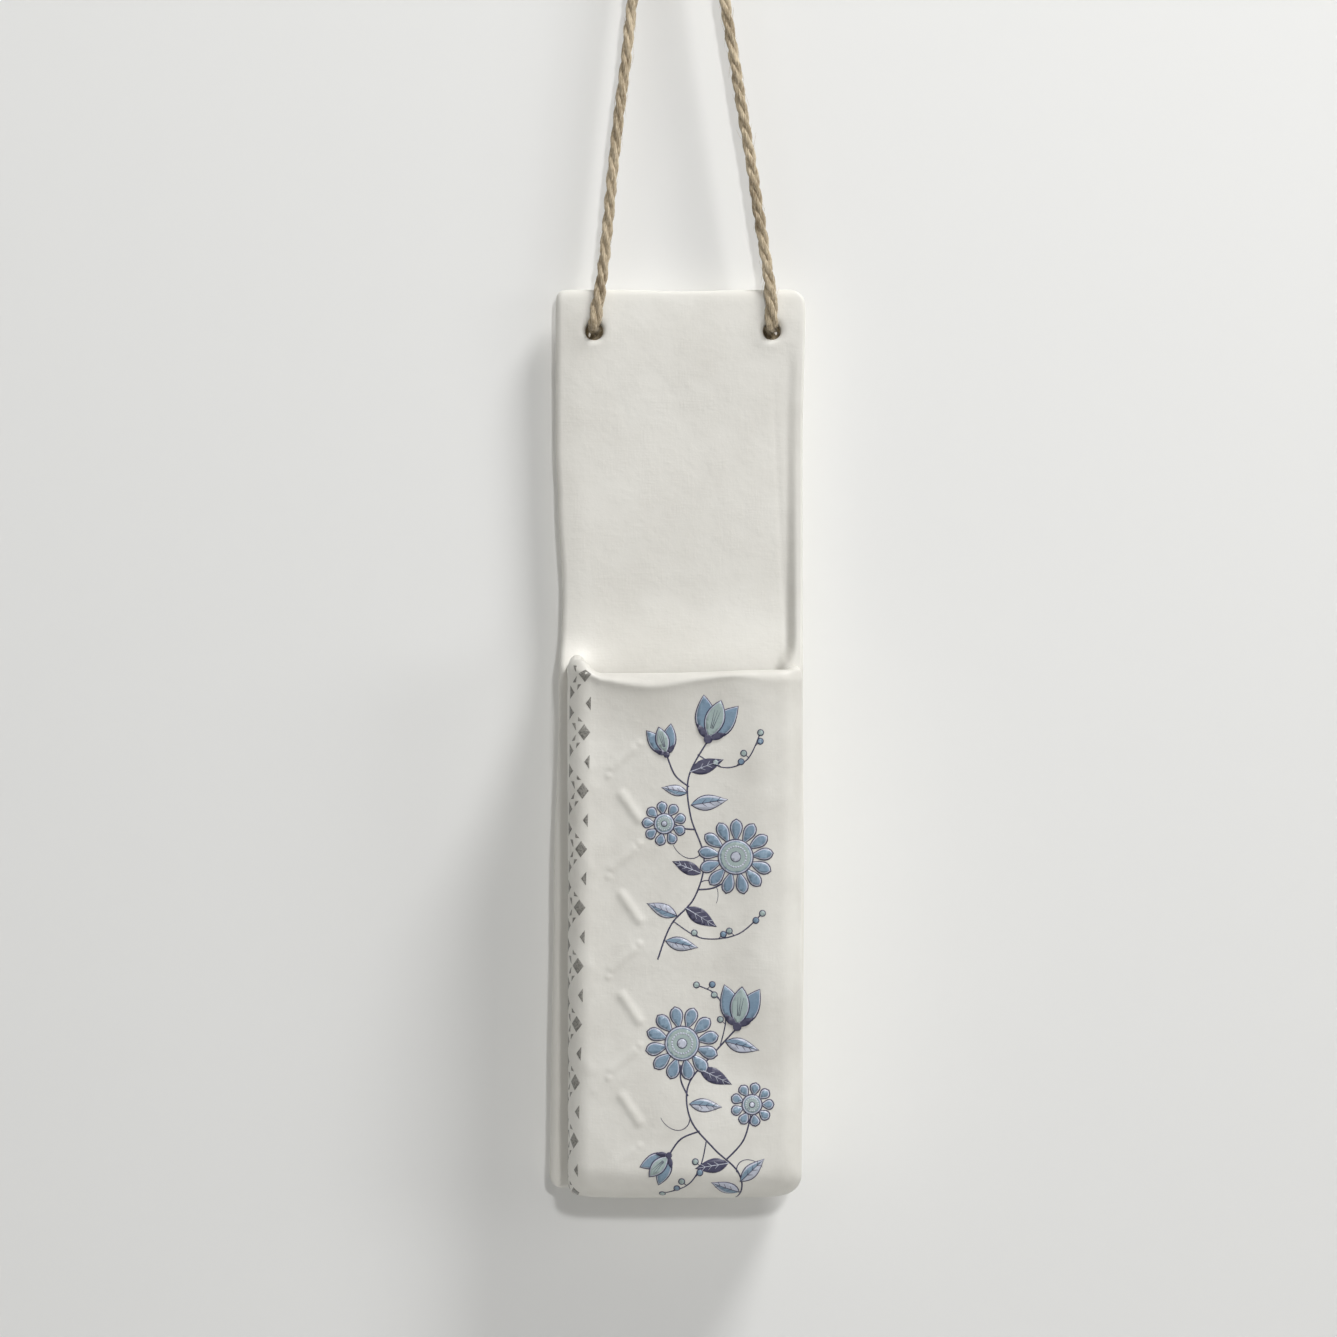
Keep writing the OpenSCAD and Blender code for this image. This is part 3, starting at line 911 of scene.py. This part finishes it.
def makePocket():
    p = pocket
    bm = bmesh.new()
    bmesh.ops.create_grid(bm, x_segments=p["columns"], y_segments=p["rows"], size=1)
    for v in bm.verts:
        x = sheetLeft + (sheetRight - sheetLeft) * (v.co.x + 1) / 2
        v.co = (x, sheetRow((v.co.y + 1) / 2), 0)
    near, far = trellis["fineBand"]
    fine = [e for e in bm.edges
            if all(near < v.co.x < far and footTop - 2 < v.co.y < rimZ - 12 for v in e.verts)]
    bmesh.ops.subdivide_edges(bm, edges=fine, cuts=1, use_grid_fill=True)
    outside = bm.verts[:]
    copied = bmesh.ops.duplicate(bm, geom=bm.verts[:] + bm.edges[:] + bm.faces[:])["geom"]
    inside = pick(copied, bmesh.types.BMVert)
    for verts, wrap in ((outside, outerPlace), (inside, innerPlace)):
        for v in verts:
            x, z = v.co.x, v.co.y
            z += (crestAt(x) - rimZ) * ease(z, rimZ - p["rimRun"], rimZ)
            v.co = wrap(x, z)
    bmesh.ops.reverse_faces(bm, faces=pick(copied, bmesh.types.BMFace))
    bmesh.ops.bridge_loops(bm, edges=[e for e in bm.edges if e.is_boundary])
    bmesh.ops.recalc_face_normals(bm, faces=bm.faces[:])
    # the pocket wall takes the glaze with painted shade
    finishPiece(bm, "pocket_wall", [pocketGlazePaintedShade], ["pocket_front"])


makePocket()


# Base: a plate luted into the foot, flush underneath with a fine seam
base = {"seam": 0.12, "bevel": 0.5, "steps": 40}


def makeBase():
    s = base
    bm = bmesh.new()
    corners = []
    for i in range(s["steps"] + 1):
        x = sheetLeft + (sheetRight - sheetLeft) * i / s["steps"]
        px, py = planPoint(x, pocket["footCornerRadius"] + s["seam"],
                           pocket["footRadius"] + s["seam"], pocket["cornerRadius"])[:2]
        corners.append(bm.verts.new((px, py, footZ)))
    face = bm.faces.new(corners)
    made = bmesh.ops.extrude_face_region(bm, geom=[face])["geom"]
    bmesh.ops.translate(bm, vec=(0, 0, pocket["wall"]), verts=pick(made, bmesh.types.BMVert))
    bmesh.ops.recalc_face_normals(bm, faces=bm.faces[:])
    rims = [e for e in bm.edges if abs(e.verts[0].co.z - e.verts[1].co.z) < 0.01]
    bmesh.ops.bevel(bm, geom=rims, offset=s["bevel"], offset_type="OFFSET", segments=3, profile=0.5,
                    affect="EDGES", material=-1, clamp_overlap=True)
    # the foot plate takes the glaze with painted shade
    finishPiece(bm, "foot_plate", [pocketGlazePaintedShade], ["pocket_base"])


makeBase()


# Prints are thin skins cut flat, then wrapped onto the pocket. In the flat sheet x and z are
# places on the pocket and y is how far a layer stands off it, in mm.
skin = {"lift": 0.04, "layer": 0.025, "sunk": 0.08}


def addPatch(bm, points, layer, material=0):
    y = -(skin["lift"] + skin["layer"] * layer)
    face = bm.faces.new([bm.verts.new((x, y, z)) for x, z in points])
    face.normal_update()
    if face.normal.y > 0:
        face.normal_flip()
    face.material_index = material


# Dices the flat patches so that they bend, gives them a back, and wraps them on
def wrapSkin(bm, dice, name, materials, replaced):
    bmesh.ops.triangulate(bm, faces=[f for f in bm.faces if len(f.verts) > 4])
    low = Vector((min(v.co.x for v in bm.verts), 0, min(v.co.z for v in bm.verts)))
    high = Vector((max(v.co.x for v in bm.verts), 0, max(v.co.z for v in bm.verts)))
    for axis in (0, 2):
        normal = Vector((axis == 0, 0, axis == 2))
        for k in range(1, math.ceil((high[axis] - low[axis]) / dice)):
            point = low + normal * k * dice
            bmesh.ops.bisect_plane(bm, geom=bm.verts[:] + bm.edges[:] + bm.faces[:], dist=0.0001,
                                   plane_co=point, plane_no=normal)
    made = bmesh.ops.extrude_face_region(bm, geom=bm.faces[:], use_keep_orig=True)["geom"]
    outer = set(pick(made, bmesh.types.BMVert))
    for v in bm.verts:
        if v not in outer:
            v.co.y = skin["sunk"]
        v.co = outerPlace(v.co.x, v.co.z, -v.co.y)
    finishPiece(bm, name, materials, replaced)


# Border: a strip of diamonds, half diamonds and small pinwheel triangles round the left corner
border = {
    "pitch": 15.05,
    "firstUp": -228.0,       # height of the first diamond's middle
    "right": -22.0,          # the strip's right edge, on the pocket's front
    "drift": 0.03,           # how far it leans left for each mm down
    "dice": 0.7,
}
# Shapes of one repeat: distance left of the strip's right edge, height above the diamond's middle
borderShapes = [
    [(0, 0), (1.7, 2.1), (3.4, 0), (1.7, -2.1)],
    [(0, -5.75), (0, -9.35), (1.4, -7.55)],
    [(6.5, -3.0), (4.75, -4.75), (6.5, -6.45)],
    [(6.8, -8.1), (4.8, -9.95), (6.8, -11.8)],
    [(5.5, 2.4), (4.3, 2.4), (4.1, 0.5)],
    [(4.05, -0.5), (5.5, -2.25), (4.35, -2.1)],
    [(3.5, 4.1), (3.5, 2.9), (2.2, 2.8)],
    [(3.75, -2.7), (2.65, -2.6), (3.9, -4.1)],
]


def makeBorder():
    s = border
    bm = bmesh.new()
    count = math.ceil((s["firstUp"] - sheetFoot) / s["pitch"])
    for k in range(count):
        middle = s["firstUp"] - k * s["pitch"]
        for shape in borderShapes:
            points = []
            for left, up in shape:
                z = middle + up
                lean = s["drift"] * (s["firstUp"] - z)
                x = s["right"] - left - lean
                points.append((x, max(min(z, crestAt(x) - lipAt(x) * 0.5), sheetFoot + 1)))
            heights = [z for x, z in points]
            if max(heights) - min(heights) > 1:
                addPatch(bm, points, 0)
    wrapSkin(bm, s["dice"], "border_print", [greyPrint], ["border_transfer"])


makeBorder()


# Vines: a plain trailing vine of round daisies, tulips, almond leaves and berries
navy, steel, sage, pale = 0, 1, 2, 3
vinePaints = [navyPrint, steelPrint, sagePrint, palePrint]
vine = {"line": 0.3, "stem": 0.42, "step": 0.8, "dice": 1.1, "berry": 1.45}


def turned(points, place, angle):
    c, s = math.cos(angle), math.sin(angle)
    return [(place[0] + a * c - b * s, place[1] + a * s + b * c) for a, b in points]


def ring(radius, steps):
    angles = [2 * math.pi * k / steps for k in range(steps)]
    return [(radius * math.cos(a), radius * math.sin(a)) for a in angles]


# A petal or leaf lying along +x from its base, fullest at a share of its length
def petalShape(length, width, full=0.6, steps=9, point=1.0):
    top = []
    for k in range(1, steps):
        t = k / steps
        warped = t ** (math.log(0.5) / math.log(full))
        top.append((length * t, width / 2 * math.sin(math.pi * warped) ** point))
    return [(0, 0)] + [(x, -y) for x, y in top] + [(length, 0)] + top[::-1]


# A line's outline, narrower by the taper at its end
def ribbon(points, width, taper=0.0):
    left, right = [], []
    for i, p in enumerate(points):
        a, b = points[max(i - 1, 0)], points[min(i + 1, len(points) - 1)]
        length = math.hypot(b[0] - a[0], b[1] - a[1]) or 1
        nx, nz = -(b[1] - a[1]) / length, (b[0] - a[0]) / length
        half = width / 2 * (1 - taper * i / (len(points) - 1))
        left.append((p[0] + nx * half, p[1] + nz * half))
        right.append((p[0] - nx * half, p[1] - nz * half))
    return left + right[::-1]


def addStem(bm, points, width):
    line = [(p.x, p.y) for p in smoothLine([Vector(p) for p in points], vine["step"])]
    addPatch(bm, ribbon(line, width), 0, navy)
    return line


# A shape in nested layers, each drawn in by a width and in its own colour
def addNested(bm, shape, place, angle, layer, layers):
    for n, (inset, material) in enumerate(layers):
        addPatch(bm, turned(shape(inset), place, angle), layer + n, material)


def petal(length, width, full=0.6, point=1.0):
    def shape(inset):
        points = petalShape(length - 2.3 * inset, width - 2 * inset, full, 10, point)
        return [(x + 1.3 * inset, y) for x, y in points]
    return shape


def disc(radius, steps=36):
    return lambda inset: ring(radius - inset, steps)


def addLeaf(bm, place, angle, length, dark=False):
    w = vine["line"]
    leaf = petal(length, length * 0.42, 0.42, 1.1)
    addNested(bm, leaf, place, angle, 1, [(0, navy)] if dark else [(0, navy), (w * 0.8, pale)])
    mark = pale if dark else navy
    if not dark:
        half = [(x, y) for x, y in petalShape(length * 0.9, length * 0.28, 0.42, 10, 1.1) if y >= 0]
        addPatch(bm, turned(half, place, angle), 3, steel)
    rib = turned([(0, 0), (length * 0.5, 0), (length * 0.93, 0)], place, angle)
    addPatch(bm, ribbon(rib, w * 0.7, 0.6), 4, mark)
    for share in (0.3, 0.5, 0.7):
        for sign in (-1, 1):
            vein = [(length * share, 0), (length * (share + 0.12), sign * length * 0.1)]
            addPatch(bm, ribbon(turned(vein, place, angle), w * 0.5, 0.5), 4, mark)


def addDaisy(bm, place, radius, petals, turn=0.0):
    w = vine["line"]
    width = 2 * math.pi * radius * 0.72 / petals * 0.98
    for k in range(petals):
        angle = turn + 2 * math.pi * k / petals
        inner = turned([(radius * 0.36, 0)], place, angle)[0]
        blade = petal(radius * 0.64, width, 0.64, 0.62)
        addNested(bm, blade, inner, angle, 2, [(0, navy), (w, pale), (w * 1.9, steel)])
    heart = [(0, navy), (w, pale), (w * 2.1, steel), (w * 2.8, sage)]
    addNested(bm, disc(radius * 0.47), place, 0, 5, heart)
    for k in range(petals * 2):
        angle = 2 * math.pi * (k + 0.5) / (petals * 2)
        spot = turned([(radius * 0.27, 0)], place, angle)[0]
        addPatch(bm, turned(ring(radius * 0.03, 8), spot, 0), 9, pale)
    addNested(bm, disc(radius * 0.14, 16), place, 0, 9, [(0, navy), (w * 0.7, pale)])


def addTulip(bm, place, angle, size):
    w = vine["line"]
    for side, layer in ((-1, 1), (1, 4)):
        flap = petal(size, size * 0.5, 0.45, 0.9)
        addNested(bm, flap, place, angle + side * 0.42, layer, [(0, navy), (w, pale), (w * 1.8, steel)])
    front = petal(size * 0.92, size * 0.46, 0.5, 0.85)
    addNested(bm, front, place, angle, 7, [(0, navy), (w, pale), (w * 1.8, sage)])
    for side in (-1, 0, 1):
        mark = turned([(size * 0.25, 0), (size * 0.68, 0)], place, angle + side * 0.1)
        addPatch(bm, ribbon(mark, w * 0.6, 0.7), 10, navy)
    for side in (-1, 1):
        cup = petalShape(size * 0.42, size * 0.16, 0.5, 7)
        addPatch(bm, turned(cup, place, angle + side * 0.95), 10, navy)
    addPatch(bm, turned(ring(size * 0.1, 14), place, 0), 11, navy)


def addBerries(bm, stem, size):
    line = addStem(bm, stem, vine["stem"] * 0.75)
    w = vine["line"]
    count = 5
    for k in range(count):
        spot = line[round((len(line) - 1) * (0.3 + 0.7 * k / (count - 1)))]
        side = 1 if k % 2 else -1
        out = (spot[0] + side * size * 0.9, spot[1] + size * 0.8)
        if k == count - 1:
            out = spot
        else:
            addPatch(bm, ribbon([spot, out], w * 0.7), 1, navy)
        fill = steel if k % 2 else sage
        addNested(bm, disc(size * 0.62, 14), out, 0, 2, [(0, navy), (w * 0.8, fill)])


def addTendril(bm, place, angle, size):
    points = []
    for k in range(15):
        t = k / 14
        x = size * (t * 1.1 - 0.25 * math.sin(5.2 * t))
        points.append((x, size * 0.42 * (1 - math.cos(5.2 * t)) * (1 - 0.55 * t)))
    addPatch(bm, ribbon(turned(points, place, angle), vine["stem"] * 0.7, 0.6), 0, navy)


# Places in each print are mm from its top left corner: across, up (so downwards is below 0)
upperPrint = {
    "name": "upper_vine_print", "replaces": "upper_floral_transfer",
    "corner": (-9.5, -231.6),
    "stems": [
        [(4.5, -70), (8, -61), (14, -54), (16.5, -44), (13.0, -33), (12.5, -23), (17.5, -13.5)],
        [(14.8, -52), (19, -51.5), (23.5, -49)],
        [(14.2, -36.5), (10.5, -36.0), (7.0, -33.5)],
        [(12.6, -25.5), (9.0, -22.5), (6.9, -17.5)],
    ],
    "daisies": [(24.6, -43.5, 9.9, 13, 0.1), (6.2, -35.0, 5.9, 9, 0.3)],
    "tulips": [(17.5, -13.2, 1.25, 11.6), (6.8, -17.2, 1.85, 8.2)],
    "leaves": [
        (9.6, -58.8, 2.75, 8.6, False), (11.6, -56.6, -0.55, 9.6, True), (13.0, -30.2, 0.15, 9.8, False),
        (15.8, -47.8, 2.75, 8.2, True), (12.9, -21.6, 0.35, 9.2, True), (6.4, -65.2, -0.2, 8.8, False),
        (12.3, -27.0, 2.95, 7.0, False),
    ],
    "berries": [[(14.8, -17.2), (21.5, -20.5), (27.5, -18.5), (31.0, -11.5)],
                [(8.6, -60.2), (16, -64.5), (25, -63.5), (31.5, -58.0)]],
    "tendrils": [(16.2, -41.3, 2.9, 6.0), (15.6, -50.2, -1.0, 5.0)],
}
lowerPrint = {
    "name": "lower_vine_print", "replaces": "lower_floral_transfer",
    "corner": (-9.5, -304.6),
    "stems": [
        [(27, -61), (25.5, -52), (19, -45.5), (13, -38), (12.5, -29), (19, -21), (25, -14.5)],
        [(12.3, -32), (10.5, -28), (10.5, -24)],
        [(22, -48.5), (26.5, -43.5), (28.5, -37)],
        [(15.3, -41), (10.5, -43), (7.5, -47)],
    ],
    "daisies": [(10.8, -18.5, 9.7, 12, 0.2), (28.8, -34.2, 5.8, 9, 0.0)],
    "tulips": [(25.0, -14.2, 1.45, 11.4), (7.4, -47.2, 3.95, 8.2)],
    "leaves": [
        (21.8, -18.0, -0.25, 9.2, False), (15.2, -25.0, -0.45, 9.4, True), (12.6, -34.0, -0.1, 8.6, False),
        (25.7, -54.0, 0.75, 8.6, False), (22.8, -49.2, 3.3, 8.8, True), (26.4, -57.5, 2.75, 8.8, False),
    ],
    "berries": [[(17.0, -43.7), (15.5, -50), (12, -55), (5.5, -58)],
                [(20.5, -19.5), (22.0, -12), (19.5, -6), (14.5, -3.5)]],
    "tendrils": [(12.7, -38.0, 3.0, 5.6), (24.9, -51.5, 0.1, 5.0)],
}


def makeVine(s):
    bm = bmesh.new()
    cx, cz = s["corner"]

    def at(points):
        return [(cx + x, cz + z) for x, z in points]

    for line in s["stems"]:
        addStem(bm, at(line), vine["stem"])
    for line in s["berries"]:
        addBerries(bm, at(line), vine["berry"])
    for x, z, angle, size in s["tendrils"]:
        addTendril(bm, (cx + x, cz + z), angle, size)
    for x, z, angle, length, dark in s["leaves"]:
        addLeaf(bm, (cx + x, cz + z), angle, length, dark)
    for x, z, angle, size in s["tulips"]:
        addTulip(bm, (cx + x, cz + z), angle, size)
    for x, z, radius, petals, turn in s["daisies"]:
        addDaisy(bm, (cx + x, cz + z), radius, petals, turn)
    wrapSkin(bm, vine["dice"], s["name"], vinePaints, [s["replaces"]])


makeVine(upperPrint)
makeVine(lowerPrint)


# Stage: a pale wall at the hook, a pale floor well below it, and soft light from above
stage = {
    "wall": 3.0, "floorDrop": 1.3, "floorSize": 6.0,
    "wallColour": paint(238, 238, 236), "floorColour": paint(232, 231, 228),
    "world": 0.185, "worldSeen": 0.92,      # the second is what the camera and gloss see
    "floorGlow": 0.5,
    "lamps": [
        # name, place from the camera's height, size, watts
        ("keyLamp", (0.64, -0.6, 1.33), 0.5, 18.5),
        ("frontLamp", (0.2, -1.5, 0.36), 0.1, 5.9),
        ("sideLamp", (1.45, -0.8, 0.15), 0.6, 3.4),
        ("fillLamp", (-0.9, -1.8, 0.2), 1.2, 2.3),
        ("backLamp", (0.6, 1.4, 0.7), 1.0, 12),
    ],
}


# A glow that only the camera sees, and a wall that is clear from behind and to shadow rays
def makeStageMaterial(name, colour, seeThrough, glow=0):
    material = bpy.data.materials.new(name)
    material.use_nodes = True
    tree = material.node_tree
    shader = tree.nodes["Principled BSDF"]
    shader.inputs["Base Color"].default_value = colour
    shader.inputs["Roughness"].default_value = 0.9
    shader.inputs["Specular IOR Level"].default_value = 0.1
    shader.inputs["Emission Color"].default_value = colour
    if glow:
        seen = tree.nodes.new("ShaderNodeLightPath").outputs["Is Camera Ray"]
        tree.links.new(times(tree, seen, glow), shader.inputs["Emission Strength"])
    if seeThrough:
        clear = tree.nodes.new("ShaderNodeBsdfTransparent")
        mix = tree.nodes.new("ShaderNodeMixShader")
        rear = tree.nodes.new("ShaderNodeNewGeometry").outputs["Backfacing"]
        shadow = tree.nodes.new("ShaderNodeLightPath").outputs["Is Shadow Ray"]
        tree.links.new(addMath(tree, "MAXIMUM", rear, shadow), mix.inputs["Fac"])
        tree.links.new(shader.outputs["BSDF"], mix.inputs[1])
        tree.links.new(clear.outputs["BSDF"], mix.inputs[2])
        tree.links.new(mix.outputs["Shader"], tree.nodes["Material Output"].inputs["Surface"])
    return material


def makePlane(name, size, matrix, material):
    bm = bmesh.new()
    bmesh.ops.create_grid(bm, x_segments=1, y_segments=1, size=size / 2)
    bmesh.ops.transform(bm, matrix=matrix, verts=bm.verts[:])
    putObject(name, meshFrom(bm, name, [material]))


def makeStage():
    s = stage
    middle = camera["height"]
    upright = Matrix.Translation((0, 0, middle)) @ Matrix.Rotation(math.radians(90), 4, "X")
    makePlane("backWall", s["wall"], upright, makeStageMaterial("wallPaint", s["wallColour"], True))
    ground = Matrix.Translation((0, 0, middle - s["floorDrop"]))
    floorPaint = makeStageMaterial("floorPaint", s["floorColour"], False, s["floorGlow"])
    makePlane("studioFloor", s["floorSize"], ground, floorPaint)
    for name, spot, size, watts in s["lamps"]:
        data = bpy.data.lights.new(name, "AREA")
        data.shape = "DISK"
        data.size = size
        data.energy = watts
        lamp = putObject(name, data)
        lamp.location = Vector(spot) + Vector((0, 0, middle))
        aim = Vector((0, 0, middle)) - lamp.location
        lamp.rotation_euler = aim.to_track_quat("-Z", "Y").to_euler()
    world = bpy.data.worlds.new("paleRoom")
    scene.world = world
    world.use_nodes = True
    tree = world.node_tree
    light = tree.nodes["Background"]
    light.inputs["Color"].default_value = (1, 1, 1, 1)
    path = tree.nodes.new("ShaderNodeLightPath").outputs
    seen = addMath(tree, "MAXIMUM", path["Is Camera Ray"], path["Is Glossy Ray"])
    tree.links.new(addRange(tree, seen, 0, 1, s["world"], s["worldSeen"]), light.inputs["Strength"])


makeStage()
print("stage set")
